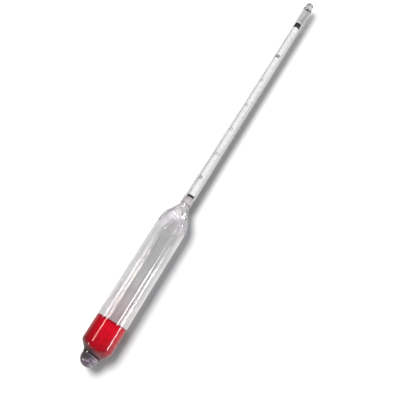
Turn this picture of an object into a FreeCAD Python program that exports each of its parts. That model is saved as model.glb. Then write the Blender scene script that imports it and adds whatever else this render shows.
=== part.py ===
import FreeCAD, Part
import math
import os
import re

import Sketcher

# A glass hydrometer for wort and must, lying on its side with its nose towards -Y and its stem
# tip towards +Y. It is a sealed glass float: a fat bulb with a solid nose bead, a drawn shoulder
# and a thin stem whose end is melted shut. A rolled paper scale stands in the stem, held by a dab
# of glue at the neck, and steel shot set in red resin weights the bottom of the bulb.
# Every piece is turned about one axis. Its outline is drawn as radius against height, where height
# is measured along the axis from the nose. Millimetres and degrees throughout.

DIMENSIONS = [
    ("overall_length", 300.0, "nose to stem tip"),
    ("bulb_radius", 10.0, "outside of the bulb"),
    ("bulb_wall", 0.9, "glass of the bulb, shoulder and neck"),
    ("nose_radius", 5.5, "solid bead that closes the bottom"),
    ("nose_height", 6.3, "where the bead runs into the bulb"),
    ("foot_bend", 4.2, "hollow curve from bead to cone"),
    ("foot_angle", 45.0, "slope of the bulb's cone, from the axis"),
    ("corner_bend", 2.5, "rounded corner from cone to cylinder"),
    ("floor_height", 9.2, "lowest point of the hollow in the bulb"),
    ("floor_dish", 11.0, "radius of the dished floor"),
    ("floor_bend", 2.2, "inside corner from floor to wall"),
    ("shoulder_height", 97.2, "where the bulb begins to narrow"),
    ("crown_bend", 15.5, "wide curve from the bulb into the shoulder"),
    ("throat_bend", 3.0, "tight curve from the shoulder into the neck"),
    ("shoulder_angle", 31.0, "slope of the shoulder, from the axis"),
    ("neck_radius", 3.75, "outside of the neck"),
    ("neck_height", 113.0, "where the bulb's neck ends"),
    ("weld_width", 1.8, "ring of melted glass between neck and stem"),
    ("weld_bulge", 0.12, "how far that ring stands proud"),
    ("flare_height", 150.0, "above this the stem is a straight tube"),
    ("stem_radius", 3.35, "outside of the stem"),
    ("stem_wall", 0.8, "glass of the stem"),
    ("seal_height", 294.0, "where the stem's tube is melted shut"),
    ("seal_dome", 1.6, "rise of the rounded end of the bore"),
    ("seal_collar", 0.8, "full-width part of the seal"),
    ("seal_slope", 1.4, "length over which the seal narrows"),
    ("nib_radius", 2.75, "narrow end left by the flame"),
    ("nib_bend", 1.2, "rounded edge of that end"),
    ("paper_radius", 2.42, "outside of the rolled scale"),
    ("paper_thickness", 0.1, "scale paper"),
    ("paper_bottom", 116.4, "lower edge of the scale"),
    ("paper_top", 278.8, "upper edge of the scale"),
    ("paper_turn", 354.0, "the roll stops short of meeting itself"),
    ("glue_height", 111.2, "lowest point of the dab"),
    ("glue_tail", 1.7, "radius of the dab at its lower end"),
    ("glue_grip", 1.4, "length of the dab that touches the glass"),
    ("resin_height", 28.3, "flat top of the resin"),
    ("resin_creep", 0.6, "rim where the resin climbs the glass"),
    ("shot_radius", 1.45, "steel ball"),
    ("shot_pitch", 3.0, "ball to ball, between rings and between layers"),
    ("shot_skin", 0.15, "resin between the balls and the glass"),
    ("shot_top", 21.5, "no ball's centre lies above this"),
]
SHEET = "Dimensions"
MOST_LEFT_AFTER_CUT = 0.99  # a cut that leaves more of a piece's volume than this has missed it

# Places along the outlines that several pieces share, as formulas of the sheet's dimensions.
CONE_START = (
    "nose_radius + foot_bend * (1 - cos(foot_angle))",
    "nose_height + foot_bend * sin(foot_angle)",
)
CORNER_START_RADIUS = "bulb_radius - corner_bend * (1 - cos(foot_angle))"
CORNER_START_HEIGHT = f"{CONE_START[1]} + ({CORNER_START_RADIUS} - ({CONE_START[0]})) / tan(foot_angle)"
CORNER_END_HEIGHT = f"{CORNER_START_HEIGHT} + corner_bend * sin(foot_angle)"
BULB_BORE = "bulb_radius - bulb_wall"
NECK_BORE = "neck_radius - bulb_wall"
STEM_BORE = "stem_radius - stem_wall"
WELD_TOP = "neck_height + weld_width"


def write_sheet(document):
    """Put each driving dimension in a cell that carries its name."""
    sheet = document.addObject("Spreadsheet::Sheet", SHEET)
    for row, (name, value, meaning) in enumerate(DIMENSIONS, start=1):
        sheet.set(f"A{row}", name)
        sheet.set(f"B{row}", str(value))
        sheet.set(f"C{row}", meaning)
        sheet.setAlias(f"B{row}", name)
    document.recompute()
    return sheet


def formula(text):
    """The same text with each dimension's name pointing at its cell."""
    return re.sub(r"[a-z]+_[a-z_]+", lambda name: f"{SHEET}.{name.group()}", text)


def value_of(owner, text):
    """The number that a formula gives now."""
    return float(owner.evalExpression(formula(text)))


def lay_down(piece):
    """Turn a piece from standing on its nose to lying along Y, with the bulb on the ground."""
    piece.Placement = FreeCAD.Placement(FreeCAD.Vector(), FreeCAD.Rotation(FreeCAD.Vector(1, 0, 0), -90))
    piece.setExpression("Placement.Base.y", formula("-overall_length / 2"))
    piece.setExpression("Placement.Base.z", formula("bulb_radius"))


def origin_plane(body, role):
    """One of the body's own origin planes."""
    return next(feature for feature in body.Origin.OriginFeatures if feature.Role == role)


def bend_between(start, end, bend, centre_on_left):
    """The arc of radius bend from start to end, whose centre is to the left or right of the way."""
    chord = end - start
    left = FreeCAD.Vector(-chord.y, chord.x, 0).normalize()
    offset = math.sqrt(max(bend**2 - (chord.Length / 2) ** 2, 0))
    centre = (start + end) / 2 + left * (offset if centre_on_left else -offset)
    first, last = (start, end) if centre_on_left else (end, start)
    angles = [math.atan2(point.y - centre.y, point.x - centre.x) for point in (first, last)]
    if angles[1] < angles[0]:
        angles[1] += 2 * math.pi
    circle = Part.Circle(centre, FreeCAD.Vector(0, 0, 1), bend)
    return Part.ArcOfCircle(circle, angles[0], angles[1])


def pin_coordinate(sketch, edge, end, direction, text, label):
    """Hold one coordinate of an edge's end at a formula, or on the axis where the formula is 0."""
    if text == "0":
        axis = -2 if direction == "DistanceX" else -1
        sketch.addConstraint(Sketcher.Constraint("PointOnObject", edge, end, axis))
        return
    value = value_of(sketch, text)
    index = sketch.addConstraint(Sketcher.Constraint(direction, -1, 1, edge, end, value))
    sketch.renameConstraint(index, label)
    sketch.setExpression(f"Constraints.{label}", formula(text))


def draw_outline(body, name, corners, plane="XZ_Plane"):
    """Sketch a closed half-outline.

    Each corner is (radius, height), reached by a straight edge from the corner before, or
    (radius, height, bend, side), reached by an arc of that bend whose centre is on that side of
    the way. All are formulas of the sheet's dimensions.
    """
    sketch = body.newObject("Sketcher::SketchObject", name)
    sketch.AttachmentSupport = [(origin_plane(body, plane), "")]
    sketch.MapMode = "FlatFace"
    points = [FreeCAD.Vector(value_of(sketch, corner[0]), value_of(sketch, corner[1])) for corner in corners]
    ends = []
    for index, corner in enumerate(corners):
        start, end = points[index - 1], points[index]
        if len(corner) == 2:
            sketch.addGeometry(Part.LineSegment(start, end))
            ends.append((1, 2))
            continue
        bend, on_left = corner[2], corner[3] == "left"
        sketch.addGeometry(bend_between(start, end, value_of(sketch, bend), on_left))
        ends.append((1, 2) if on_left else (2, 1))
    for index, corner in enumerate(corners):
        before = (index - 1) % len(corners)
        joint = Sketcher.Constraint("Coincident", before, ends[before][1], index, ends[index][0])
        sketch.addConstraint(joint)
        pin_coordinate(sketch, index, ends[index][1], "DistanceX", corner[0], f"radius_{index}")
        pin_coordinate(sketch, index, ends[index][1], "DistanceY", corner[1], f"height_{index}")
        if len(corner) > 2:
            bend = sketch.addConstraint(Sketcher.Constraint("Radius", index, value_of(sketch, corner[2])))
            sketch.renameConstraint(bend, f"bend_{index}")
            sketch.setExpression(f"Constraints.bend_{index}", formula(corner[2]))
    return sketch


def turned_body(document, label, corners, plane="XZ_Plane", turn=None):
    """A body made by turning one outline about the axis."""
    body = document.addObject("PartDesign::Body", label)
    body.Label = label
    sketch = draw_outline(body, f"{label}_outline", corners, plane)
    document.recompute()
    solid = body.newObject("PartDesign::Revolution", f"{label}_turned")
    solid.Profile = sketch
    solid.ReferenceAxis = (sketch, ["V_Axis"])
    solid.Angle = 360
    if turn:
        solid.setExpression("Angle", formula(turn))
    lay_down(body)
    document.recompute()
    return body


def hollow_out(document, body, name, corners):
    """Cut a turned hollow out of a body, and make sure that it took glass away."""
    before = body.Shape.Volume
    sketch = draw_outline(body, f"{name}_outline", corners)
    document.recompute()
    hollow = body.newObject("PartDesign::Groove", name)
    hollow.Profile = sketch
    hollow.ReferenceAxis = (sketch, ["V_Axis"])
    hollow.Angle = 360
    document.recompute()
    if body.Shape.Volume > before * MOST_LEFT_AFTER_CUT:
        raise RuntimeError(f"{name} cut nothing")


def shoulder(inset):
    """Corners of the drawn shoulder from bulb to neck, inset from the outer glass by a distance."""
    crown = f"(crown_bend - {inset})"
    throat = f"(throat_bend + {inset})"
    crown_end = f"bulb_radius - crown_bend + {crown} * cos(shoulder_angle)"
    throat_start = f"neck_radius + throat_bend - {throat} * cos(shoulder_angle)"
    bends = "(crown_bend + throat_bend)"
    outer_drop = f"bulb_radius - neck_radius - {bends} * (1 - cos(shoulder_angle))"
    slope_length = f"({outer_drop}) / tan(shoulder_angle)"
    throat_height = f"shoulder_height + {bends} * sin(shoulder_angle) + {slope_length}"
    return [
        (f"bulb_radius - {inset}", "shoulder_height"),
        (crown_end, f"shoulder_height + {crown} * sin(shoulder_angle)", crown, "left"),
        (throat_start, f"{throat_height} - {throat} * sin(shoulder_angle)"),
        (f"neck_radius - {inset}", throat_height, throat, "right"),
    ]


def make_nose_bead(document):
    """The solid bead of glass under the bulb, a ball end on a short stump."""
    return turned_body(document, "nose_bead", [
        ("0", "0"),
        ("nose_radius", "nose_radius", "nose_radius", "left"),
        ("nose_radius", "nose_height"),
        ("0", "nose_height"),
    ])


def dished_floor():
    """Corners of the bulb's floor and the bend up to its wall, from the axis outwards."""
    reach = "(floor_dish - floor_bend)"
    bend_centre = f"({BULB_BORE} - floor_bend)"
    drop = f"sqrt({reach} ^ 2 - {bend_centre} ^ 2)"
    dish_centre = "(floor_height + floor_dish)"
    return [
        ("0", "floor_height"),
        (
            f"{bend_centre} * floor_dish / {reach}",
            f"{dish_centre} - {drop} * floor_dish / {reach}",
            "floor_dish",
            "left",
        ),
        (BULB_BORE, f"{dish_centre} - {drop}", "floor_bend", "left"),
    ]


def make_bulb_tube(document):
    """The bulb: a tube with a coned bottom and a drawn shoulder that ends in a short neck."""
    bulb = turned_body(document, "bulb_tube", [
        ("0", "nose_height"),
        ("nose_radius", "nose_height"),
        (*CONE_START, "foot_bend", "right"),
        (CORNER_START_RADIUS, CORNER_START_HEIGHT),
        ("bulb_radius", CORNER_END_HEIGHT, "corner_bend", "left"),
        *shoulder("0"),
        ("neck_radius", "neck_height"),
        ("0", "neck_height"),
    ])
    hollow_out(document, bulb, "bulb_hollow", [
        *dished_floor(),
        *shoulder("bulb_wall"),
        (NECK_BORE, "neck_height"),
        ("0", "neck_height"),
    ])
    return bulb


def make_neck_weld(document):
    """The ring of melted glass that joins the stem to the neck, standing slightly proud."""
    bulge_bend = "((weld_width / 2) ^ 2 + weld_bulge ^ 2) / (2 * weld_bulge)"
    return turned_body(document, "neck_weld", [
        (NECK_BORE, "neck_height"),
        ("neck_radius", "neck_height"),
        ("neck_radius", WELD_TOP, bulge_bend, "left"),
        (NECK_BORE, WELD_TOP),
    ])


def make_stem_tube(document):
    """The stem: thin tubing, slightly flared at its root and straight above."""
    return turned_body(document, "stem_tube", [
        (NECK_BORE, WELD_TOP),
        ("neck_radius", WELD_TOP),
        ("stem_radius", "flare_height"),
        ("stem_radius", "seal_height"),
        (STEM_BORE, "seal_height"),
        (STEM_BORE, "flare_height"),
    ])


def make_stem_tip_seal(document):
    """The melted end of the stem: a collar that narrows to a rounded nib, with a domed underside."""
    dome_bend = f"(({STEM_BORE}) ^ 2 + seal_dome ^ 2) / (2 * seal_dome)"
    step = "(stem_radius - nib_radius)"
    step_bend = f"({step} ^ 2 + seal_slope ^ 2) / (4 * {step})"
    slope_start = "seal_height + seal_collar"
    return turned_body(document, "stem_tip_seal", [
        ("stem_radius", "seal_height"),
        ("stem_radius", slope_start),
        (f"stem_radius - {step} / 2", f"{slope_start} + seal_slope / 2", step_bend, "left"),
        ("nib_radius", f"{slope_start} + seal_slope", step_bend, "right"),
        ("nib_radius", "overall_length - nib_bend"),
        ("nib_radius - nib_bend", "overall_length", "nib_bend", "left"),
        ("0", "overall_length"),
        ("0", "seal_height + seal_dome"),
        (STEM_BORE, "seal_height", dome_bend, "right"),
    ])


def make_scale_paper(document):
    """The paper scale, rolled up inside the stem with its open seam on the underside."""
    inside = "paper_radius - paper_thickness"
    return turned_body(document, "scale_paper", [
        (inside, "paper_bottom"),
        ("paper_radius", "paper_bottom"),
        ("paper_radius", "paper_top"),
        (inside, "paper_top"),
    ], plane="YZ_Plane", turn="paper_turn")


def make_scale_glue(document):
    """The dab of glue that the scale stands on, gripping the glass where the neck meets the stem."""
    flare = f"({NECK_BORE} - ({STEM_BORE})) / (flare_height - ({WELD_TOP}))"
    bore_at_paper = f"{NECK_BORE} - (paper_bottom - ({WELD_TOP})) * {flare}"
    return turned_body(document, "scale_glue", [
        ("0", "glue_height"),
        ("glue_tail", "glue_height + glue_tail", "glue_tail", "left"),
        (NECK_BORE, "paper_bottom - glue_grip - weld_width / 2"),
        (NECK_BORE, WELD_TOP),
        (bore_at_paper, "paper_bottom"),
        ("0", "paper_bottom"),
    ])


def shot_centres(sheet):
    """Where the balls lie: rings against the wall, inside that and on the axis, stacked in layers."""
    bore = sheet.bulb_radius - sheet.bulb_wall
    clear = sheet.shot_radius + sheet.shot_skin
    dish_centre = sheet.floor_height + sheet.floor_dish
    outer_ring = bore - clear
    for ring in (outer_ring, outer_ring - sheet.shot_pitch, 0.0):
        count = max(1, math.floor(2 * math.pi * ring / sheet.shot_pitch))
        height = dish_centre - math.sqrt((sheet.floor_dish - clear) ** 2 - ring**2)
        while height <= sheet.shot_top:
            for step in range(count):
                angle = 2 * math.pi * step / count
                yield ring * math.cos(angle), ring * math.sin(angle), height
            height += sheet.shot_pitch


def make_ballast_shot(document, sheet):
    """Steel balls packed in the bottom of the bulb."""
    balls = []
    for number, centre in enumerate(shot_centres(sheet), start=1):
        ball = document.addObject("Part::Sphere", f"shot_{number}")
        ball.setExpression("Radius", formula("shot_radius"))
        ball.Placement.Base = FreeCAD.Vector(*centre)
        balls.append(ball)
    shot = document.addObject("Part::Compound", "ballast_shot")
    shot.Label = "ballast_shot"
    shot.Links = balls
    lay_down(shot)
    document.recompute()
    return shot


def make_ballast_resin(document, shot):
    """Red resin poured over the balls: it fills the floor of the bulb and creeps up the glass."""
    fill = turned_body(document, "resin_fill", [
        *dished_floor(),
        (BULB_BORE, "resin_height + resin_creep"),
        (f"{BULB_BORE} - resin_creep", "resin_height", "resin_creep", "left"),
        ("0", "resin_height"),
    ])
    resin = document.addObject("Part::Cut", "ballast_resin")
    resin.Label = "ballast_resin"
    resin.Base = fill
    resin.Tool = shot
    document.recompute()
    if resin.Shape.Volume > fill.Shape.Volume * MOST_LEFT_AFTER_CUT:
        raise RuntimeError("the shot cut nothing from the resin")
    return resin


def check(document, pieces):
    """Stop if any object failed to build, or if a piece has no sound solid."""
    for item in document.Objects:
        if {"Invalid", "Error"} & set(item.State):
            raise RuntimeError(f"{item.Label} failed: {item.State}")
    for piece in pieces:
        if piece.Shape.isNull() or not piece.Shape.isValid() or not piece.Shape.Solids:
            raise RuntimeError(f"{piece.Label} has no valid solid")


def main():
    document = FreeCAD.newDocument("Hydrometer")
    sheet = write_sheet(document)
    shot = make_ballast_shot(document, sheet)
    pieces = [
        make_nose_bead(document),
        make_bulb_tube(document),
        make_neck_weld(document),
        make_stem_tube(document),
        make_stem_tip_seal(document),
        make_scale_paper(document),
        make_scale_glue(document),
        shot,
        make_ballast_resin(document, shot),
    ]
    document.recompute()
    check(document, pieces)
    os.makedirs("parts", exist_ok=True)
    for piece in pieces:
        piece.Shape.exportStep(f"parts/{piece.Label}.step")
        box = piece.Shape.BoundBox
        print(
            f"{piece.Label}: {len(piece.Shape.Solids)} solid(s), {piece.Shape.Volume:.1f} mm3,"
            f" y {box.YMin:.2f} to {box.YMax:.2f}, z {box.ZMin:.2f} to {box.ZMax:.2f}"
        )


main()
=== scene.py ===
import math

import bmesh
import bpy
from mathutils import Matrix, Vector, noise


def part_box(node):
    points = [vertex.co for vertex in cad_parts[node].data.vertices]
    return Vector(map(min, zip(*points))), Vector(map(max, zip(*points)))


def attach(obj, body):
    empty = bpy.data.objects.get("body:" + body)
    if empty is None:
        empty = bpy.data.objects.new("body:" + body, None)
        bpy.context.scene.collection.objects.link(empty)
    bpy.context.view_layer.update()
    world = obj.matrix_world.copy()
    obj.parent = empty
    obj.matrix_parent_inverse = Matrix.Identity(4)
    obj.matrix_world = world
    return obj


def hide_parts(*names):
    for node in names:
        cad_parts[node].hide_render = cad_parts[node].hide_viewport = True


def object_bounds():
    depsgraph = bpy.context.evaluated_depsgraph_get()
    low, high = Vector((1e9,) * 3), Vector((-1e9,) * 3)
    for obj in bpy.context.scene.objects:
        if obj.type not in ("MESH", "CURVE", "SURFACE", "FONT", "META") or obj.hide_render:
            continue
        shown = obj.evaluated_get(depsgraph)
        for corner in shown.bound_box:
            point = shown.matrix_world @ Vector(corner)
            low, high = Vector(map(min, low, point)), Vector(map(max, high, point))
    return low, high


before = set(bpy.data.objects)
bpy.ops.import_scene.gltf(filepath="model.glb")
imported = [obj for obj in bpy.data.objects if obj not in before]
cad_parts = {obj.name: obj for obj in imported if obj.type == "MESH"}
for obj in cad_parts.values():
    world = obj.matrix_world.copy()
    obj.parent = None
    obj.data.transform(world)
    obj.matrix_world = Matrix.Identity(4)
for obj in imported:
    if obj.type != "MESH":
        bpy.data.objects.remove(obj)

# A glass hydrometer lying on a pale floor, its nose towards -Y and its stem tip towards +Y.
# Sizes on the object are millimetres, with height measured along the axis from the nose, and are
# turned into the frame's metres by place(). Angles about the axis start at the top, towards +X.

MM = 0.001
CAD_LOW, CAD_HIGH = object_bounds()


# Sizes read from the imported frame.

def heights(node):
    """Where a CAD node begins and ends along the axis."""
    low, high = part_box(node)
    return (low.y - CAD_LOW.y) / MM, (high.y - CAD_LOW.y) / MM


def radius_of(node):
    """The widest radius of a CAD node about the axis."""
    low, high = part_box(node)
    return (high.z - low.z) / 2 / MM


AXIS_HEIGHT = (CAD_LOW.z + CAD_HIGH.z) / 2
LENGTH = (CAD_HIGH.y - CAD_LOW.y) / MM
BULB_RADIUS = radius_of("bulb_tube")
NOSE_RADIUS = radius_of("nose_bead")
STEM_RADIUS = radius_of("stem_tip_seal")
PAPER_RADIUS = radius_of("scale_paper")
NOSE_HEIGHT, NECK_HEIGHT = heights("bulb_tube")
WELD_TOP, SEAL_HEIGHT = heights("stem_tube")
PAPER_BOTTOM, PAPER_TOP = heights("scale_paper")
FLOOR_HEIGHT, RESIN_RIM = heights("ballast_resin")

# Shapes of the glass between those sizes, as the CAD has them.
FOOT_BEND = 4.2
FOOT_ANGLE = math.radians(45)
CORNER_BEND = 2.5
BULB_WALL = 0.9
FLOOR_DISH = 11.0
FLOOR_BEND = 2.2
SHOULDER_HEIGHT = 97.2
CROWN_BEND = 15.5
THROAT_BEND = 3.0
SHOULDER_ANGLE = math.radians(31)
NECK_RADIUS = 3.75
WELD_BULGE = 0.12
FLARE_HEIGHT = 150.0
STEM_WALL = 0.8
SEAL_DOME = 1.6
SEAL_COLLAR = 0.8
SEAL_SLOPE = 1.4
NIB_RADIUS = 2.75
NIB_BEND = 1.2
RESIN_CREEP = 0.6

BULB_BORE = BULB_RADIUS - BULB_WALL
NECK_BORE = NECK_RADIUS - BULB_WALL
STEM_BORE = STEM_RADIUS - STEM_WALL

# How the glass differs from a true turned shape, where it was worked in the flame: a ripple, a
# throat that sank in and a foot that is fuller, the last two on the +X side only.
GLASS_INSET = 0.012
TUBE_RIPPLE = 0.003
DRAWN_RIPPLE = 0.45
DRAWN_MARGIN = 3.0
SAG_HEIGHT = 107.0
SAG_REACH = 4.5
SAG_DEPTH = 0.75
FULL_HEIGHT = 10.2
FULL_REACH = 3.0
FULL_SHARE = 0.45

# The ripple's waves: how closely they follow each other about the axis, and their length along it.
TUBE_WAVES = (1.3, 22)
DRAWN_WAVES = (4.5, 2.6)
OUTSIDE_SEED = 3.1
INSIDE_SEED = 8.7

# How finely outlines are cut and turned, and how far the resin reaches into the glass.
RING_STEP = 1.5
BEND_STEP = math.radians(5)
SEGMENTS = 144
OVERLAP = 0.02

# The scale: specific gravity against height. A float sinks until it displaces its own weight, so
# a mark's distance below the 1.000 mark is in proportion to 1 - 1/gravity.
WATER_MARK = 243.3
BODY_LENGTH = 990.0
WATER = 1000
FIRST_TICK, LAST_TICK = 980, 1130
FIRST_NUMBER, LAST_NUMBER = 1000, 1125
MAIN_SPACING = 25
MIDDLE_SPACING = 5
BOLD_MARKS = (1000, 1125)

# Each tick's width about the roll and its thickness along it, and where the ticks stand.
WATER_TICK = (3.6, 0.8)
MAIN_TICK = (3.2, 0.34)
MIDDLE_TICK = (1.9, 0.16)
FINE_TICK = (1.1, 0.1)
SCALE_FACES = math.radians(-14)
TICK_START = math.radians(40)
FINE_TICK_SHIFT = 0.17

# The numbers' sizes, how far each stands above its tick, how much bolder than the font they are, and
# how wide the strips are that they are bent in.
FOUR_DIGIT_SIZE = 2.1
TWO_DIGIT_SIZE = 2.2
NUMBER_RISE = 0.6
DIGIT_WEIGHT = 0.05
DIGIT_CUT = 0.3

# The end bands: each one's middle from the paper's own end, its thickness and its skew, and how far
# round the roll both go, in radians.
LOWER_BAND = (3.1, 1.8, 0.3)
UPPER_BAND = (-2.9, 4.6, 0.8)
BAND_TURN = 5.7

# How far ink stands out of the paper and reaches into it.
INK_LIFT = 0.02
INK_SINK = 0.01


def at(height):
    """Where a height stands along the frame's Y."""
    return CAD_LOW.y + height * MM


def place(radius, height, angle):
    """The point of the frame at that radius, height and angle about the axis."""
    return Vector((
        radius * MM * math.sin(angle),
        at(height),
        AXIS_HEIGHT + radius * MM * math.cos(angle),
    ))


# Outlines.

def arc_points(start, end, bend, centre_on_left):
    """Points along the arc of that bend from start to end, without start itself."""
    chord = end - start
    left = Vector((-chord.y, chord.x)).normalized()
    offset = math.sqrt(max(bend**2 - (chord.length / 2) ** 2, 0))
    centre = (start + end) / 2 + left * (offset if centre_on_left else -offset)
    first = math.atan2(start.y - centre.y, start.x - centre.x)
    turn = 2 * math.asin(min(1, chord.length / 2 / bend)) * (1 if centre_on_left else -1)
    steps = max(2, math.ceil(abs(turn) / BEND_STEP))
    angles = [first + turn * step / steps for step in range(1, steps + 1)]
    return [centre + bend * Vector((math.cos(angle), math.sin(angle))) for angle in angles]


def line_points(start, end):
    """Points along a straight edge from start to end, without start itself."""
    steps = max(1, math.ceil(abs(end.y - start.y) / RING_STEP))
    return [start.lerp(end, step / steps) for step in range(1, steps + 1)]


def trace(corners):
    """An outline through corners (radius, height) or, after an arc, (radius, height, bend, side)."""
    points = [Vector(corners[0][:2])]
    for corner in corners[1:]:
        end = Vector(corner[:2])
        if len(corner) == 2:
            points += line_points(points[-1], end)
        else:
            points += arc_points(points[-1], end, corner[2], corner[3] == "left")
    return points


def shoulder(inset):
    """Corners of the drawn shoulder, inset from the outer glass."""
    crown = CROWN_BEND - inset
    throat = THROAT_BEND + inset
    bends = CROWN_BEND + THROAT_BEND
    drop = BULB_RADIUS - NECK_RADIUS - bends * (1 - math.cos(SHOULDER_ANGLE))
    rise = bends * math.sin(SHOULDER_ANGLE) + drop / math.tan(SHOULDER_ANGLE)
    top = SHOULDER_HEIGHT + rise
    return [
        (BULB_RADIUS - inset, SHOULDER_HEIGHT),
        (
            BULB_RADIUS - CROWN_BEND + crown * math.cos(SHOULDER_ANGLE),
            SHOULDER_HEIGHT + crown * math.sin(SHOULDER_ANGLE),
            crown,
            "left",
        ),
        (
            NECK_RADIUS + THROAT_BEND - throat * math.cos(SHOULDER_ANGLE),
            top - throat * math.sin(SHOULDER_ANGLE),
        ),
        (NECK_RADIUS - inset, top, throat, "right"),
    ]


def foot():
    """Corners of the nose bead, the hollow bend above it and the cone up to the bulb's wall."""
    cone_start = (
        NOSE_RADIUS + FOOT_BEND * (1 - math.cos(FOOT_ANGLE)),
        NOSE_HEIGHT + FOOT_BEND * math.sin(FOOT_ANGLE),
    )
    corner_radius = BULB_RADIUS - CORNER_BEND * (1 - math.cos(FOOT_ANGLE))
    corner_height = cone_start[1] + (corner_radius - cone_start[0]) / math.tan(FOOT_ANGLE)
    return [
        (0, 0),
        (NOSE_RADIUS, NOSE_RADIUS, NOSE_RADIUS, "left"),
        (NOSE_RADIUS, NOSE_HEIGHT),
        (*cone_start, FOOT_BEND, "right"),
        (corner_radius, corner_height),
        (BULB_RADIUS, corner_height + CORNER_BEND * math.sin(FOOT_ANGLE), CORNER_BEND, "left"),
    ]


def stem_end():
    """Corners of the melted end of the stem, from its collar to the middle of the nib."""
    step = STEM_RADIUS - NIB_RADIUS
    bend = (step**2 + SEAL_SLOPE**2) / (4 * step)
    slope_start = SEAL_HEIGHT + SEAL_COLLAR
    return [
        (STEM_RADIUS, slope_start),
        (STEM_RADIUS - step / 2, slope_start + SEAL_SLOPE / 2, bend, "left"),
        (NIB_RADIUS, slope_start + SEAL_SLOPE, bend, "right"),
        (NIB_RADIUS, LENGTH - NIB_BEND),
        (NIB_RADIUS - NIB_BEND, LENGTH, NIB_BEND, "left"),
        (0, LENGTH),
    ]


def outer_glass():
    """The outside of the whole float, from the nose to the tip of the stem."""
    weld_width = WELD_TOP - NECK_HEIGHT
    weld_bend = ((weld_width / 2) ** 2 + WELD_BULGE**2) / (2 * WELD_BULGE)
    return trace([
        *foot(),
        *shoulder(0),
        (NECK_RADIUS, NECK_HEIGHT),
        (NECK_RADIUS, WELD_TOP, weld_bend, "left"),
        (STEM_RADIUS, FLARE_HEIGHT),
        *stem_end(),
    ])


def dished_floor(overlap=0.0):
    """Corners of the bulb's floor and the bend up to its wall, overlapping into the glass."""
    dish = FLOOR_DISH + overlap
    bend = FLOOR_BEND + overlap
    reach = dish - bend
    bend_centre = BULB_BORE - FLOOR_BEND
    drop = math.sqrt(reach**2 - bend_centre**2)
    dish_centre = FLOOR_HEIGHT + FLOOR_DISH
    return [
        (0, FLOOR_HEIGHT - overlap),
        (bend_centre * dish / reach, dish_centre - drop * dish / reach, dish, "left"),
        (BULB_BORE + overlap, dish_centre - drop, bend, "left"),
    ]


def inner_glass():
    """The inside of the glass: the hollow of the bulb, the neck and the bore of the stem."""
    dome_bend = (STEM_BORE**2 + SEAL_DOME**2) / (2 * SEAL_DOME)
    return trace([
        *dished_floor(),
        *shoulder(BULB_WALL),
        (NECK_BORE, NECK_HEIGHT),
        (NECK_BORE, WELD_TOP),
        (STEM_BORE, FLARE_HEIGHT),
        (STEM_BORE, SEAL_HEIGHT),
        (0, SEAL_HEIGHT + SEAL_DOME, dome_bend, "left"),
    ])


# Meshes.

def drawn_share(height):
    """How far the glass was worked in the flame at a height: 1 in the shoulder, 0 on the tubes."""
    middle = (SHOULDER_HEIGHT + NECK_HEIGHT) / 2
    reach = (NECK_HEIGHT - SHOULDER_HEIGHT) / 2 + DRAWN_MARGIN
    return max(0.0, 1 - ((height - middle) / reach) ** 2)


def one_sided(height, middle, reach, angle):
    """A share that is 1 at a middle height on the +X side, and fades along and about the axis."""
    away = (height - middle) / reach
    return math.exp(-away * away) * max(0.0, math.sin(angle)) ** 2


def sag(height, angle):
    """How far the throat of the shoulder sank in on its +X side while it was soft."""
    return SAG_DEPTH * one_sided(height, SAG_HEIGHT, SAG_REACH, angle)


def fullness(point, angle):
    """How far the foot was blown out towards the bulb's width on its +X side."""
    room = BULB_RADIUS - point.x
    return FULL_SHARE * room * one_sided(point.y, FULL_HEIGHT, FULL_REACH, angle)


def ripple(height, angle, seed):
    """How far the glass lies inside its true outline there."""
    around = Vector((math.sin(angle), math.cos(angle), 0))
    closeness, length = TUBE_WAVES
    slow = noise.noise(around * closeness + Vector((seed, seed, height / length)))
    closeness, length = DRAWN_WAVES
    fine = noise.noise(around * closeness + Vector((seed, -seed, height / length)))
    share = drawn_share(height)
    amount = TUBE_RIPPLE * (1 - share) + DRAWN_RIPPLE * share
    blend = slow * (1 - share) + fine * share
    return GLASS_INSET + amount * max(0.0, 0.3 + 0.5 * blend)


def add_turned(bm, outline, inward=False, shrink=None):
    """Add the surface made by turning an outline. Where it meets the axis, it closes.

    Shrink says how far the surface falls short of a point of the outline at an angle.
    """
    rings = []
    for point in outline:
        if point.x < 1e-6:
            rings.append([bm.verts.new(place(0, point.y, 0))])
            continue
        ring = []
        for segment in range(SEGMENTS):
            angle = 2 * math.pi * segment / SEGMENTS
            radius = point.x - (shrink(point, angle) if shrink else 0)
            ring.append(bm.verts.new(place(radius, point.y, angle)))
        rings.append(ring)
    for lower, upper in zip(rings, rings[1:]):
        for segment in range(SEGMENTS):
            after = (segment + 1) % SEGMENTS
            corners = [lower[segment % len(lower)], lower[after % len(lower)]]
            corners += [upper[after % len(upper)], upper[segment % len(upper)]]
            loop = list(dict.fromkeys(corners))
            face = bm.faces.new(reversed(loop) if inward else loop)
            face.smooth = True


def piece_from(bm, name, material):
    """Make a bmesh into a named piece that rides on the float."""
    mesh = bpy.data.meshes.new(name)
    bm.to_mesh(mesh)
    bm.free()
    mesh.materials.append(material)
    piece = bpy.data.objects.new(name, mesh)
    bpy.context.scene.collection.objects.link(piece)
    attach(piece, "root")
    return piece


# Node trees.

# The painted shade in the foot leans: between these places towards +X, it is counted higher by this
# much, so it reaches less far on that side.
LEAN_ACROSS = (-6, 8)
LEAN_RISE = (-1, 3)


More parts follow.
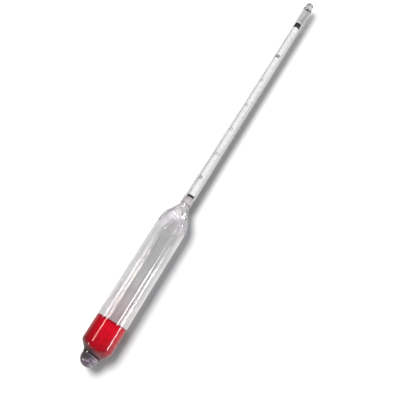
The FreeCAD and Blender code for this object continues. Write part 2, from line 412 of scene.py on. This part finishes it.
class Shader:
    """A material built one node at a time."""

    def __init__(self, name, kind=bpy.data.materials):
        self.owner = kind.new(name)
        self.owner.use_nodes = True
        self.tree = self.owner.node_tree
        self.tree.nodes.clear()
        self.place = self.add("ShaderNodeTexCoord").outputs["Object"]

    def add(self, kind, inputs=None, **settings):
        """A node with its settings made and its inputs set to values or linked to sockets."""
        node = self.tree.nodes.new(kind)
        for name, value in settings.items():
            setattr(node, name, value)
        for name, value in (inputs or {}).items():
            if isinstance(value, bpy.types.NodeSocket):
                self.tree.links.new(value, node.inputs[name])
            else:
                node.inputs[name].default_value = value
        return node

    def noise(self, grain, detail=2.0, stretch=1.0):
        """Noise whose grain is that many millimetres, drawn out along the float by stretch."""
        scaled = self.add(
            "ShaderNodeVectorMath",
            {0: self.place, 1: (1, 1 / stretch, 1)},
            operation="MULTIPLY",
        ).outputs[0]
        settings = {"Vector": scaled, "Scale": 1 / (grain * MM), "Detail": detail}
        return self.add("ShaderNodeTexNoise", settings).outputs["Fac"]

    def ramp(self, factor, *stops):
        """Colours blended along a factor, each stop a (position, colour)."""
        node = self.add("ShaderNodeValToRGB", {"Fac": factor})
        elements = node.color_ramp.elements
        while len(elements) < len(stops):
            elements.new(1.0)
        for element, (position, colour) in zip(elements, stops):
            element.position = position
            element.color = (*colour, 1)
        return node.outputs["Color"]

    def spread(self, value, low, high, to_low=0.0, to_high=1.0):
        """A value mapped from one range to another and held inside it."""
        ranges = {"From Min": low, "From Max": high, "To Min": to_low, "To Max": to_high}
        return self.add("ShaderNodeMapRange", {"Value": value, **ranges}).outputs["Result"]

    def both(self, first, second):
        """Two shares multiplied."""
        return self.add("ShaderNodeMath", {0: first, 1: second}, operation="MULTIPLY").outputs[0]

    def total(self, first, second):
        """Two values added."""
        return self.add("ShaderNodeMath", {0: first, 1: second}, operation="ADD").outputs[0]

    def mix(self, share, first, second, way="MIX"):
        """The first colour giving way to the second by a share."""
        inputs = {"Factor": share, 6: first, 7: second}
        return self.add("ShaderNodeMix", inputs, data_type="RGBA", blend_type=way).outputs[2]

    def choose(self, share, first, second):
        """The first value giving way to the second by a share."""
        return self.add("ShaderNodeMix", {"Factor": share, "A": first, "B": second}).outputs["Result"]

    def dim(self, colour, amount):
        """A colour made darker by an amount."""
        settings = {0: colour, "Scale": amount}
        return self.add("ShaderNodeVectorMath", settings, operation="SCALE").outputs[0]

    def split(self, vector):
        """A vector's X, Y and Z."""
        return self.add("ShaderNodeSeparateXYZ", {0: vector}).outputs

    def leaning_height(self, parts):
        """The place along the float, counted higher towards +X, where the painted shade reaches less
        far.
        """
        low, high = LEAN_ACROSS
        least, most = LEAN_RISE
        lean = self.spread(parts["X"], low * MM, high * MM, least * MM, most * MM)
        return self.total(parts["Y"], lean)

    def bump(self, height, strength, depth):
        """A surface normal raised by a height, where depth is in millimetres."""
        settings = {"Height": height, "Strength": strength, "Distance": depth * MM}
        return self.add("ShaderNodeBump", settings).outputs["Normal"]

    def principled(self, inputs):
        """A surface with those inputs."""
        return self.add("ShaderNodeBsdfPrincipled", inputs).outputs[0]

    def finish(self, surface, output="ShaderNodeOutputMaterial"):
        """Send a shader to the output and give back the material."""
        self.add(output, {"Surface": surface})
        return self.owner


# How much light the thin glass lets through to matt things, met face on and edge on, and what share
# of that still comes through the solid nose.
GLASS_PASSES = 0.70
GLASS_EDGE_PASSES = 0.1
NOSE_PASSES = 0.35

# Heights between which the nose's painted shade fades out, and how ragged that edge is.
NOSE_SHADE_FADES = (8.5, 12.5)
NOSE_SHADE_RAG = 1.5

# The glass's colours. The nose's painted shades run from its darkest patches to its clearest, with
# bluish and pinkish painted reflection colours between.
PLAIN_DARK = (0.965, 0.968, 0.975)
PLAIN_LIGHT = (0.985, 0.985, 0.995)
# Painted reflection of the red resin in the clear glass above it.
PAINTED_RED_REFLECTION = (0.98, 0.89, 0.91, 1)
WORKED_TINT = (0.978, 0.966, 1.0, 1)
# Painted shade on the stem's bare end and, darker, its melted tip.
BARE_STEM_PAINTED_SHADE = (0.79, 0.79, 0.79, 1)
TIP_PAINTED_SHADE = (0.60, 0.60, 0.60, 1)
NOSE_PAINTED_SHADES = (
    (0.37, (0.11, 0.10, 0.10)),
    (0.47, (0.19, 0.165, 0.185)),
    (0.53, (0.25, 0.28, 0.40)),
    (0.58, (0.56, 0.33, 0.46)),
    (0.66, (0.92, 0.84, 0.96)),
)


def nose_share(shader, parts):
    """Where the glass is solid and carries painted shade: all of the nose, up to a ragged, leaning
    edge.
    """
    ragged = shader.spread(shader.noise(1.6, 2), 0.3, 0.7, -NOSE_SHADE_RAG * MM, NOSE_SHADE_RAG * MM)
    edge = shader.total(shader.leaning_height(parts), ragged)
    low, high = NOSE_SHADE_FADES
    return shader.spread(edge, at(low), at(high), 1, 0)


def worked_share(shader, along):
    """Where the glass was drawn out in the flame: from the shoulder to just past the weld."""
    below = shader.spread(along, at(SHOULDER_HEIGHT - 3), at(SHOULDER_HEIGHT + 1))
    beyond = shader.spread(along, at(NECK_HEIGHT), at(WELD_TOP + 4), 1, 0)
    return shader.both(below, beyond)


def clear_tint(shader, parts, worked):
    """The colour of the clear glass, with a painted reflection of the red resin above it and cooler
    where it was worked.
    """
    plain = shader.ramp(shader.noise(9, stretch=6), (0.3, PLAIN_DARK), (0.7, PLAIN_LIGHT))
    off_middle = shader.add("ShaderNodeMath", {0: parts["X"]}, operation="ABSOLUTE").outputs[0]
    red_reflection_middle = shader.spread(off_middle, 4 * MM, 7 * MM, 1, 0.2)
    red_reflection_height = shader.spread(parts["Y"], at(RESIN_RIM), at(RESIN_RIM + 28), 1, 0)
    red_reflected = shader.mix(shader.both(red_reflection_middle, red_reflection_height), plain, PAINTED_RED_REFLECTION)
    return shader.mix(worked, red_reflected, WORKED_TINT)


def smoky_tint(shader, parts):
    """The painted colour of the solid nose: painted shade in patches that are darker towards -X and
    towards the bulb, with bluish and pinkish painted reflection colours.
    """
    waist = shader.spread(parts["Y"], at(2), at(7), -0.01, -0.03)
    side = shader.spread(parts["X"], -4 * MM, 4 * MM, -0.09, 0.13)
    patches = shader.total(shader.noise(2.2, 3), shader.total(waist, side))
    return shader.ramp(patches, *NOSE_PAINTED_SHADES)


def stem_tint(shader, along):
    """Painted shade on the stem beyond its paper, greyer still in the melted tip."""
    tip = shader.spread(along, at(SEAL_HEIGHT), at(SEAL_HEIGHT + 2))
    return shader.mix(tip, BARE_STEM_PAINTED_SHADE, TIP_PAINTED_SHADE)


def glass_shade(shader, tint, nose):
    """What the glass is to light on its way to or from matt things: a filter that bends nothing."""
    facing = shader.add("ShaderNodeLayerWeight", {"Blend": 0.5}).outputs["Facing"]
    thin = shader.spread(facing, 0.1, 0.6, GLASS_PASSES, GLASS_EDGE_PASSES)
    thick = shader.spread(nose, 0, 1, 1.0, NOSE_PASSES)
    passed = shader.dim(tint, shader.both(thin, thick))
    return shader.add("ShaderNodeBsdfTransparent", {"Color": passed}).outputs[0]


def matt_light(shader):
    """Whether a ray is on its way to or from a matt thing."""
    path = shader.add("ShaderNodeLightPath").outputs
    rays = {0: path["Is Shadow Ray"], 1: path["Diffuse Depth"]}
    return shader.add("ShaderNodeMath", rays, operation="MAXIMUM", use_clamp=True).outputs[0]


def glass():
    """Clear glass, with painted shade and painted reflection colours in the solid nose, painted shade
    in the stem's bare end and a painted reflection of the red resin above it.

    Light on its way to or from matt things goes straight through, the less so where it meets the
    glass edge on, so the glass casts a soft shadow.
    """
    shader = Shader("clear_glass")
    parts = shader.split(shader.place)
    along = parts["Y"]
    nose = nose_share(shader, parts)
    worked = worked_share(shader, along)
    body = shader.mix(nose, clear_tint(shader, parts, worked), smoky_tint(shader, parts))
    bare = shader.spread(along, at(PAPER_TOP), at(PAPER_TOP + 1))
    tint = shader.mix(bare, body, stem_tint(shader, along))
    worked_grain = shader.both(shader.noise(2.6, 2), worked)
    surface = shader.principled({
        "Base Color": tint,
        "Roughness": shader.spread(shader.noise(5, 2, stretch=5), 0.3, 0.8, 0.0, 0.015),
        "IOR": 1.5,
        "Transmission Weight": 1.0,
        "Normal": shader.bump(worked_grain, 1.0, 0.7),
    })
    shade = glass_shade(shader, tint, nose)
    ways = {0: matt_light(shader), 1: surface, 2: shade}
    return shader.finish(shader.add("ShaderNodeMixShader", ways).outputs[0])


# The resin's colours: dark and light between the shot and in its bright top, then at its rim, and the
# painted shade at its very bottom, darker towards -X and lighter towards +X.
DULL_RESIN = ((0.0, (0.07, 0.006, 0.010)), (1.0, (0.32, 0.004, 0.012)))
BRIGHT_RESIN = ((0.3, (0.46, 0.003, 0.014)), (0.7, (0.74, 0.006, 0.019)))
RESIN_RIM_COLOUR = (0.30, 0.004, 0.020, 1)
BOTTOM_PAINTED_SHADE = (0.11, 0.09, 0.09, 1)
BOTTOM_PAINTED_LIGHT = (0.40, 0.30, 0.36, 1)


def resin():
    """Red resin: bright near its top, mottled lower down by the shot in it, darker at its rim, with
    painted shade at its very bottom that is lighter towards +X.
    """
    shader = Shader("red_resin")
    parts = shader.split(shader.place)
    along = parts["Y"]
    cells = shader.add("ShaderNodeTexVoronoi", {"Vector": shader.place, "Scale": 1 / (2.2 * MM)})
    dull = shader.ramp(shader.spread(cells.outputs["Distance"], 0.15, 0.7), *DULL_RESIN)
    grain = shader.noise(1.2, 3)
    bright = shader.ramp(grain, *BRIGHT_RESIN)
    above = shader.spread(along, at(FLOOR_HEIGHT), at(FLOOR_HEIGHT + 15), 0, 0.85)
    filling = shader.mix(above, dull, bright)
    leaning = shader.leaning_height(parts)
    # Painted shade at the resin's very bottom, darker towards -X and lighter towards +X.
    bottom = shader.spread(leaning, at(FLOOR_HEIGHT + 1), at(FLOOR_HEIGHT + 4), 0.95, 0)
    bottom_painted_shade = shader.mix(shader.spread(parts["X"], 0, 6 * MM), BOTTOM_PAINTED_SHADE, BOTTOM_PAINTED_LIGHT)
    body = shader.mix(bottom, filling, bottom_painted_shade)
    rim = shader.spread(along, at(RESIN_RIM - 1), at(RESIN_RIM - 0.5), 0, 0.3)
    return shader.finish(shader.principled({
        "Base Color": shader.mix(rim, body, RESIN_RIM_COLOUR),
        "Roughness": 0.55,
        "Specular IOR Level": 0.0,
        "Normal": shader.bump(grain, 0.2, 0.2),
    }))


def steel():
    """Bright steel balls with faint rubbing marks."""
    shader = Shader("steel_shot")
    colour = shader.ramp(shader.noise(0.8, 4), (0.3, (0.40, 0.40, 0.42)), (0.7, (0.62, 0.62, 0.63)))
    return shader.finish(shader.principled({
        "Base Color": colour,
        "Metallic": 1.0,
        "Roughness": shader.spread(shader.noise(0.4, 4), 0.3, 0.7, 0.18, 0.4),
    }))


def paper():
    """Smooth white paper with fine fibres drawn along the roll, greyer where the glue soaked in."""
    shader = Shader("scale_paper")
    fibres = shader.noise(0.25, 5, stretch=5)
    blotches = shader.noise(7, 2)
    fine = shader.ramp(fibres, (0.35, (0.83, 0.83, 0.82)), (0.65, (0.90, 0.90, 0.885)))
    wide = shader.ramp(blotches, (0.3, (0.93, 0.93, 0.94)), (0.7, (1.0, 1.0, 1.0)))
    white = shader.mix(1.0, fine, wide, "MULTIPLY")
    along = shader.split(shader.place)["Y"]
    dry = shader.spread(along, at(PAPER_BOTTOM + 1.8), at(PAPER_BOTTOM + 2.6))
    return shader.finish(shader.principled({
        "Base Color": shader.mix(dry, (0.50, 0.45, 0.45, 1), white),
        "Roughness": 0.75,
        "Specular IOR Level": 0.3,
        "Normal": shader.bump(fibres, 0.3, 0.02),
    }))


def ink(name, dark, light):
    """Printing ink, a little uneven where the paper's grain shows through."""
    shader = Shader(name)
    return shader.finish(shader.principled({
        "Base Color": shader.ramp(shader.noise(0.35, 4), (0.35, (dark,) * 3), (0.7, (light,) * 3)),
        "Roughness": shader.spread(shader.noise(0.5), 0.3, 0.7, 0.45, 0.7),
    }))


def glue():
    """Aged pinkish glue, slightly translucent and lumpy."""
    shader = Shader("scale_glue")
    lumps = shader.noise(1.1, 3)
    return shader.finish(shader.principled({
        "Base Color": shader.ramp(lumps, (0.3, (0.46, 0.42, 0.42)), (0.7, (0.64, 0.59, 0.59))),
        "Roughness": 0.35,
        "Subsurface Weight": 0.3,
        "Subsurface Radius": (1.0 * MM, 0.5 * MM, 0.4 * MM),
        "Normal": shader.bump(lumps, 0.5, 0.3),
    }))


# How much light the floor reflects where glass shows it, and how much it glows there as painted light
# with no lamp; how bright the backdrop is to the camera; and the place from which the floor blends
# into that backdrop, near enough that the blend also lightens the stem's shadow towards its tip as
# painted light.
FLOOR_IN_GLASS = 0.19
FLOOR_PAINTED_GLOW_IN_GLASS = 0.50
BACKDROP = 0.9
UNDER_BULB = (0, -0.1, 0)


def floor_dimming(shader):
    """The painted light on the floor where glass shows it, against a middling 1."""
    parts = shader.split(shader.place)
    across, along = parts["X"], parts["Y"]
    sideways = {0: along, 1: 0.5, 2: across}
    drift = shader.add("ShaderNodeMath", sideways, operation="MULTIPLY_ADD").outputs[0]
    fade = shader.spread(drift, -0.17, -0.08, 0.3, 1.0)
    dapple = shader.spread(shader.noise(4, 3, stretch=4), 0.3, 0.7, 0.84, 1.16)
    beside_bulb = shader.both(
        shader.spread(across, 0.004, 0.010),
        shader.spread(along, -0.06, -0.04, 0.30, 0.0),
    )
    beside_stem = shader.both(
        shader.spread(across, 0.003, -0.003),
        shader.spread(along, -0.01, 0.10, 0.0, 0.45),
    )
    lift = shader.total(shader.total(beside_bulb, beside_stem), 1.0)
    return shader.both(shader.both(fade, dapple), lift)


def floor_finish():
    """A plain pale floor that stays pale far off; the glow that blends it into the backdrop starts
    near the bulb, so it also lightens the stem's shadow towards its tip as painted light.

    Where glass shows or mirrors it, it carries painted light and glows without a lamp: dimmer and
    softly dappled, dimmest well to the left, brighter beside the bulb on the right and beside the
    stem's far end on the left.
    """
    shader = Shader("pale_floor")
    seen = shader.add("ShaderNodeLightPath").outputs["Is Camera Ray"]
    dimming = floor_dimming(shader)
    ends = {0: shader.place, 1: UNDER_BULB}
    away = shader.add("ShaderNodeVectorMath", ends, operation="DISTANCE").outputs["Value"]
    # Painted light: this glow starts near the bulb, so it also lightens the stem's cast shadow
    # towards its tip.
    far_glow = shader.spread(away, 0.12, 1.3, 0.0, BACKDROP - 0.35)
    reflected_in_glass = shader.spread(dimming, 0, 2, 0, 2 * FLOOR_IN_GLASS)
    glow_in_glass = shader.spread(dimming, 0, 2, 0, 2 * FLOOR_PAINTED_GLOW_IN_GLASS)
    pale = shader.ramp(shader.noise(60, 2), (0.3, (0.90, 0.90, 0.90)), (0.7, (0.92, 0.92, 0.92)))
    return shader.finish(shader.principled({
        "Base Color": shader.dim(pale, shader.choose(seen, reflected_in_glass, 1.0)),
        "Roughness": 0.9,
        "Specular IOR Level": 0.0,
        # Painted light: where glass shows the floor, it glows without a lamp.
        "Emission Color": shader.mix(seen, (1.0, 0.975, 0.96, 1), (0.98, 0.99, 1.0, 1)),
        "Emission Strength": shader.choose(seen, glow_in_glass, far_glow),
    }))


# The float's pieces.

def make_glass():
    """The glass in two pieces that meet at the weld, each with its outside and its inside."""
    def outside_falls_short(point, angle):
        return ripple(point.y, angle, OUTSIDE_SEED) + sag(point.y, angle) - fullness(point, angle)

    def inside_falls_short(point, angle):
        return ripple(point.y, angle, INSIDE_SEED) / 2 + sag(point.y, angle)

    material = glass()
    outside = outer_glass()
    inside = inner_glass()
    pieces = []
    for name, low, high in (("bulb_glass", 0, NECK_HEIGHT), ("stem_glass", NECK_HEIGHT, LENGTH)):
        bm = bmesh.new()
        outer = [point for point in outside if low - 1e-4 < point.y < high + 1e-4]
        inner = [point for point in inside if low - 1e-4 < point.y < high + 1e-4]
        add_turned(bm, outer, shrink=outside_falls_short)
        add_turned(bm, inner, inward=True, shrink=inside_falls_short)
        pieces.append(piece_from(bm, name, material))
    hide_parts("nose_bead", "bulb_tube")
    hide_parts("neck_weld", "stem_tube", "stem_tip_seal")
    return pieces


def make_resin():
    """The resin in the bottom of the bulb, wetting the glass and climbing it in a thin rim."""
    level = RESIN_RIM - RESIN_CREEP
    bm = bmesh.new()
    add_turned(bm, trace([
        *dished_floor(OVERLAP),
        (BULB_BORE + OVERLAP, RESIN_RIM),
        (BULB_BORE + OVERLAP - RESIN_CREEP, level, RESIN_CREEP, "left"),
        (0, level),
    ]))
    fill = piece_from(bm, "resin_fill", resin())
    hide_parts("ballast_resin")
    return fill


def mark_height(gravity):
    """Where the scale reads that specific gravity."""
    return WATER_MARK - BODY_LENGTH * (1 - 1 / gravity)


def add_bar(bm, middle, width, height, thickness, skew=0.0):
    """Add a bar of ink bent round the paper, width across it and thickness along it.

    Middle is its angle. With a skew, one end stands that much higher than the other.
    """
    half = width / 2 / PAPER_RADIUS
    steps = max(1, math.ceil(half * 2 / math.radians(6)))
    sections = []
    for step in range(steps + 1):
        angle = middle - half + 2 * half * step / steps
        rise = height + skew * (step / steps - 0.5)
        corners = [
            (PAPER_RADIUS - INK_SINK, rise - thickness / 2),
            (PAPER_RADIUS + INK_LIFT, rise - thickness / 2),
            (PAPER_RADIUS + INK_LIFT, rise + thickness / 2),
            (PAPER_RADIUS - INK_SINK, rise + thickness / 2),
        ]
        sections.append([bm.verts.new(place(radius, along, angle)) for radius, along in corners])
    for before, after in zip(sections, sections[1:]):
        for side in range(4):
            other = (side + 1) % 4
            bm.faces.new((before[side], after[side], after[other], before[other]))
    bm.faces.new(sections[0])
    bm.faces.new(reversed(sections[-1]))


def flat_digits(text, size):
    """Digits laid flat, cut into strips narrow enough to be bent."""
    curve = bpy.data.curves.new("digits", "FONT")
    curve.body = text
    curve.size = size
    curve.align_x = "CENTER"
    curve.resolution_u = 3
    curve.offset = DIGIT_WEIGHT
    curve.extrude = (INK_LIFT + INK_SINK) / 2
    carrier = bpy.data.objects.new("digits", curve)
    bpy.context.scene.collection.objects.link(carrier)
    bpy.context.view_layer.update()
    finished = carrier.evaluated_get(bpy.context.evaluated_depsgraph_get())
    mesh = bpy.data.meshes.new_from_object(finished)
    flat = bmesh.new()
    flat.from_mesh(mesh)
    bpy.data.objects.remove(carrier)
    bpy.data.curves.remove(curve)
    bpy.data.meshes.remove(mesh)
    bmesh.ops.remove_doubles(flat, verts=flat.verts, dist=1e-5)
    across = [vert.co.x for vert in flat.verts]
    cut = min(across) + DIGIT_CUT
    while cut < max(across):
        everything = [*flat.verts, *flat.edges, *flat.faces]
        bmesh.ops.bisect_plane(flat, geom=everything, plane_co=(cut, 0, 0), plane_no=(1, 0, 0))
        cut += DIGIT_CUT
    bmesh.ops.triangulate(flat, faces=flat.faces)
    return flat


def add_number(bm, text, size, middle, height):
    """Add printed digits bent round the paper, centred on an angle and standing on a height."""
    flat = flat_digits(text, size)
    middle_radius = PAPER_RADIUS + (INK_LIFT - INK_SINK) / 2
    bent = {}
    for vert in flat.verts:
        right, up, out = vert.co
        point = place(middle_radius + out, height + up, middle + right / PAPER_RADIUS)
        bent[vert] = bm.verts.new(point)
    for face in flat.faces:
        bm.faces.new([bent[vert] for vert in face.verts])
    flat.free()


def make_graduations(bold, pale):
    """Ticks of the gravity scale: fine, middle and main ones, the heaviest at that of water.

    The main ones at both ends of the numbers are in bold ink and those between them in pale ink.
    """
    fine = ink("scale_ink_fine", 0.10, 0.22)
    small, faint, dark = bmesh.new(), bmesh.new(), bmesh.new()
    for thousandth in range(FIRST_TICK, LAST_TICK + 1):
        if thousandth % MAIN_SPACING == 0:
            bm = dark if thousandth in BOLD_MARKS else faint
            width, thickness = WATER_TICK if thousandth == WATER else MAIN_TICK
            middle = SCALE_FACES
        elif thousandth % MIDDLE_SPACING == 0:
            bm = small
            width, thickness = MIDDLE_TICK
            middle = TICK_START
        else:
            bm = small
            width, thickness = FINE_TICK
            middle = TICK_START + FINE_TICK_SHIFT
        add_bar(bm, middle, width, mark_height(thousandth / 1000), thickness)
    return [
        piece_from(small, "graduations_fine", fine),
        piece_from(faint, "graduations_pale", pale),
        piece_from(dark, "graduations_bold", bold),
    ]


def make_numbers(bold, pale):
    """A number above each main tick: four digits at whole tenths, and the last two between them."""
    dark, faint = bmesh.new(), bmesh.new()
    for thousandth in range(FIRST_NUMBER, LAST_NUMBER + 1, MAIN_SPACING):
        whole = thousandth % 100 == 0
        text = str(thousandth) if whole else str(thousandth % 100)
        size = FOUR_DIGIT_SIZE if whole else TWO_DIGIT_SIZE
        bm = dark if thousandth in BOLD_MARKS else faint
        add_number(bm, text, size, SCALE_FACES, mark_height(thousandth / 1000) + NUMBER_RISE)
    return [
        piece_from(dark, "numbers_bold", bold),
        piece_from(faint, "numbers_pale", pale),
    ]


def make_bands():
    """The dark bands that close the scale at both ends."""
    bm = bmesh.new()
    for end, (inward, thickness, skew) in ((PAPER_BOTTOM, LOWER_BAND), (PAPER_TOP, UPPER_BAND)):
        add_bar(bm, 0, BAND_TURN * PAPER_RADIUS, end + inward, thickness, skew)
    return piece_from(bm, "scale_bands", ink("scale_ink_bands", 0.015, 0.05))


# The studio.

VIEW_AZIMUTH = math.radians(30.20)
VIEW_ELEVATION = math.radians(70.64)
VIEW_DISTANCE = 0.2921
VIEW_TARGET = Vector((0.00645, -0.0290, 0.0100))
LENS = 40.5
SENSOR = 36.0
CLIP_START = 0.01


def make_camera():
    """The camera, looking steeply down on the float from beside its bulb."""
    forward = Vector((
        -math.sin(VIEW_AZIMUTH) * math.cos(VIEW_ELEVATION),
        math.cos(VIEW_AZIMUTH) * math.cos(VIEW_ELEVATION),
        -math.sin(VIEW_ELEVATION),
    ))
    lens = bpy.data.cameras.new("camera")
    lens.lens = LENS
    lens.sensor_width = SENSOR
    lens.clip_start = CLIP_START
    camera = bpy.data.objects.new("camera", lens)
    camera.location = VIEW_TARGET - forward * VIEW_DISTANCE
    camera.rotation_mode = "QUATERNION"
    camera.rotation_quaternion = forward.to_track_quat("-Z", "Y")
    bpy.context.scene.collection.objects.link(camera)
    bpy.context.scene.camera = camera


def group(name, objects):
    """A collection that a lamp's light is limited to."""
    collection = bpy.data.collections.new(name)
    for item in objects:
        collection.objects.link(item)
    return collection


def add_lamp(name, lamp, location, towards, rays):
    """Put a lamp in place, aimed at a point, met only by the kinds of ray that are named."""
    holder = bpy.data.objects.new(name, lamp)
    holder.location = location
    holder.rotation_mode = "QUATERNION"
    holder.rotation_quaternion = (towards - location).to_track_quat("-Z", "Y")
    holder.visible_camera = False
    holder.visible_diffuse = "diffuse" in rays
    holder.visible_glossy = "glossy" in rays
    holder.visible_transmission = "transmission" in rays
    bpy.context.scene.collection.objects.link(holder)
    return holder


def make_wide_lamp(name, across, along, spread, strength, receivers, blockers=None):
    """A wide, distant lamp for matt things. Across and along are its lean towards +X and +Y."""
    lamp = bpy.data.lights.new(name, "SUN")
    lamp.energy = strength
    lamp.angle = math.radians(spread)
    location = Vector((math.tan(math.radians(across)), math.tan(math.radians(along)), 1))
    holder = add_lamp(name, lamp, location, Vector(), ("diffuse",))
    holder.light_linking.receiver_collection = group(f"{name}_lights", receivers)
    if blockers:
        holder.light_linking.blocker_collection = group(f"{name}_shades", blockers)


# The key lamp's place, its width and its power.
KEY_PLACE = Vector((-0.178, -0.015, 0.450))
KEY_SIZE = 0.27
KEY_POWER = 12.0


def make_key(floor):
    """The lamp that lights the floor and casts the float's shadow, as bright far off as near."""
    lamp = bpy.data.lights.new("key", "AREA")
    lamp.shape = "DISK"
    lamp.size = KEY_SIZE
    lamp.energy = KEY_POWER
    lamp.use_nodes = True
    tree = lamp.node_tree
    tree.nodes.clear()
    falloff = tree.nodes.new("ShaderNodeLightFalloff")
    glow = tree.nodes.new("ShaderNodeEmission")
    output = tree.nodes.new("ShaderNodeOutputLight")
    tree.links.new(falloff.outputs["Constant"], glow.inputs["Strength"])
    tree.links.new(glow.outputs[0], output.inputs[0])
    falloff.inputs["Strength"].default_value = 1.0
    holder = add_lamp("key", lamp, KEY_PLACE, Vector((KEY_PLACE.x, KEY_PLACE.y, 0)), ("diffuse",))
    holder.light_linking.receiver_collection = group("key_lights", [floor])


def make_mirrored(name, centre, lean, distance, size, radiance, colour=(1.0, 1.0, 1.0)):
    """A lamp that the glass mirrors but that lights nothing matt.

    It faces a centre from that distance, in a direction that leans by two angles, towards +X and +Y.
    """
    lamp = bpy.data.lights.new(name, "AREA")
    lamp.shape = "RECTANGLE"
    lamp.size, lamp.size_y = size
    lamp.energy = 4 * size[0] * size[1] * radiance
    lamp.color = colour
    across, along = (math.radians(angle) for angle in lean)
    way = Vector((
        math.sin(across) * math.cos(along),
        math.sin(along),
        math.cos(across) * math.cos(along),
    ))
    return add_lamp(name, lamp, centre + way * distance, centre, ("glossy", "transmission"))


# Each streak's lean towards +X, where it starts, the width, radiance and colour of its lamps.
STREAKS = {
    "left_streak": (-34.0, -0.162, 0.028, 11.5, (1.0, 0.90, 0.76)),
    "left_inner_streak": (-64.0, -0.131, 0.030, 7.5, (0.97, 0.96, 1.0)),
    "right_inner_streak": (52.0, -0.131, 0.030, 8.0, (0.97, 0.97, 1.0)),
    "right_streak": (85.0, -0.162, 0.038, 14.0, (0.97, 0.97, 1.0)),
}

# Where the lamps of every streak end, each one's share of its radiance, and how far off they are.
STREAK_FADES = (-0.048, -0.032, -0.016)
STREAK_SHARES = (1.0, 0.4, 0.15)
STREAK_DISTANCE = 0.30


def make_streak(name, across, start, width, radiance, colour):
    """Lamps in a row from start to beside the shoulder, mirrored as a streak that fades out there."""
    ends = (start, *STREAK_FADES)
    for number, (low, high) in enumerate(zip(ends, ends[1:])):
        part = f"{name}_{number}"
        centre = Vector((0, (low + high) / 2, AXIS_HEIGHT))
        size = (high - low, width)
        strength = radiance * STREAK_SHARES[number]
        make_mirrored(part, centre, (across, 0), STREAK_DISTANCE, size, strength, colour)


# The small lamps over the shoulder: how many, how bright and how far off, the first one's lean
# towards +X and the spread of them all, their lean towards +Y and how far it swings, and their size
# and how far that swings.
SPARKLE_COUNT = 17
SPARKLE_RADIANCE = 85.0
SPARKLE_DISTANCE = 0.3
SPARKLE_ACROSS, SPARKLE_SPREAD = -68, 144
SPARKLE_ALONG, SPARKLE_SWING = 42, 22
SPARKLE_SIZE, SPARKLE_SIZE_SWING = 0.022, 0.012


def make_sparkles(bulb):
    """Scattered small lamps, a broad one and one for the nose, that only the bulb's glass mirrors."""
    centre = place(0, SHOULDER_HEIGHT + CROWN_BEND / 2, 0)
    lamps = [make_mirrored("far_window", centre, (-20, 51), 0.6, (0.45, 0.05), 18.0)]
    for number in range(SPARKLE_COUNT):
        across = SPARKLE_ACROSS + SPARKLE_SPREAD * number / (SPARKLE_COUNT - 1)
        along = SPARKLE_ALONG + SPARKLE_SWING * math.sin(2.4 * number)
        side = SPARKLE_SIZE + SPARKLE_SIZE_SWING * math.sin(1.7 * number)
        lean = (across, along)
        size = (side, side)
        name = f"sparkle_{number}"
        lamps.append(make_mirrored(name, centre, lean, SPARKLE_DISTANCE, size, SPARKLE_RADIANCE))
    nose = place(0, NOSE_RADIUS, 0)
    lamps.append(make_mirrored("nose_glint", nose, (-72, -45), 0.4, (0.09, 0.09), 11.0))
    lit = group("sparkles_light", [bulb])
    for lamp in lamps:
        lamp.light_linking.receiver_collection = lit


def make_lamps(floor, contents, ballast, bulb):
    """Lamps for the floor, for what is inside the glass, and for the glass alone to mirror."""
    make_key(floor)
    make_wide_lamp("contents_key", 32, -5, 50, 2.9, contents, contents)
    make_wide_lamp("contents_fill", -35, 10, 60, 1.15, contents, contents)
    make_wide_lamp("ballast_fill", 10, -62, 40, 0.5, ballast, contents)
    for name, streak in STREAKS.items():
        make_streak(name, *streak)
    make_sparkles(bulb)


# How bright the world is to matt things, and to the glass at the horizon and overhead.
AMBIENT = 0.39
HORIZON_IN_GLASS = 0.5
OVERHEAD_IN_GLASS = 0.05


def make_world():
    """Soft light from all round, pale behind the float and darker overhead in its glass."""
    shader = Shader("studio", bpy.data.worlds)
    way = shader.add("ShaderNodeTexCoord").outputs["Generated"]
    parts = shader.split(way)
    horizon = shader.spread(parts["X"], -0.8, 0.4, HORIZON_IN_GLASS * 0.2, HORIZON_IN_GLASS)
    gradient = shader.spread(parts["Z"], 0.05, 0.55, horizon, OVERHEAD_IN_GLASS)
    settings = {"Vector": way, "Scale": 5.0, "Detail": 2.0}
    clutter = shader.add("ShaderNodeTexNoise", settings).outputs["Fac"]
    shade = shader.spread(clutter, 0.35, 0.65, 0.6, 1.4)
    path = shader.add("ShaderNodeLightPath").outputs
    lit = shader.choose(path["Is Diffuse Ray"], shader.both(gradient, shade), AMBIENT)
    background = shader.add("ShaderNodeBackground", {
        "Color": (0.98, 0.99, 1.0, 1),
        "Strength": shader.choose(path["Is Camera Ray"], lit, BACKDROP),
    }).outputs[0]
    bpy.context.scene.world = shader.finish(background, "ShaderNodeOutputWorld")


FLOOR_REACH = 4.0


def make_floor():
    """A wide level floor under the float."""
    mesh = bpy.data.meshes.new("floor")
    signs = ((-1, -1), (1, -1), (1, 1), (-1, 1))
    corners = [(across * FLOOR_REACH, along * FLOOR_REACH, 0) for across, along in signs]
    mesh.from_pydata(corners, [], [(0, 1, 2, 3)])
    mesh.materials.append(floor_finish())
    floor = bpy.data.objects.new("floor", mesh)
    bpy.context.scene.collection.objects.link(floor)
    return floor


def dress(node, material):
    """Give a CAD node that stays in view its own material."""
    mesh_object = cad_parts[node]
    for material_slot in mesh_object.material_slots:
        material_slot.material = material


make_camera()
make_world()
floor = make_floor()
bulb = make_glass()[0]
ballast = [make_resin(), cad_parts["ballast_shot"]]
scale = [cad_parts["scale_paper"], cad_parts["scale_glue"]]
inks = ink("scale_ink_bold", 0.04, 0.12), ink("scale_ink_pale", 0.34, 0.48)
contents = [*ballast, *scale, *make_numbers(*inks), make_bands(), *make_graduations(*inks)]
dress("scale_paper", paper())
dress("scale_glue", glue())
dress("ballast_shot", steel())
make_lamps(floor, contents, ballast, bulb)
bpy.context.scene.view_settings.view_transform = "Standard"
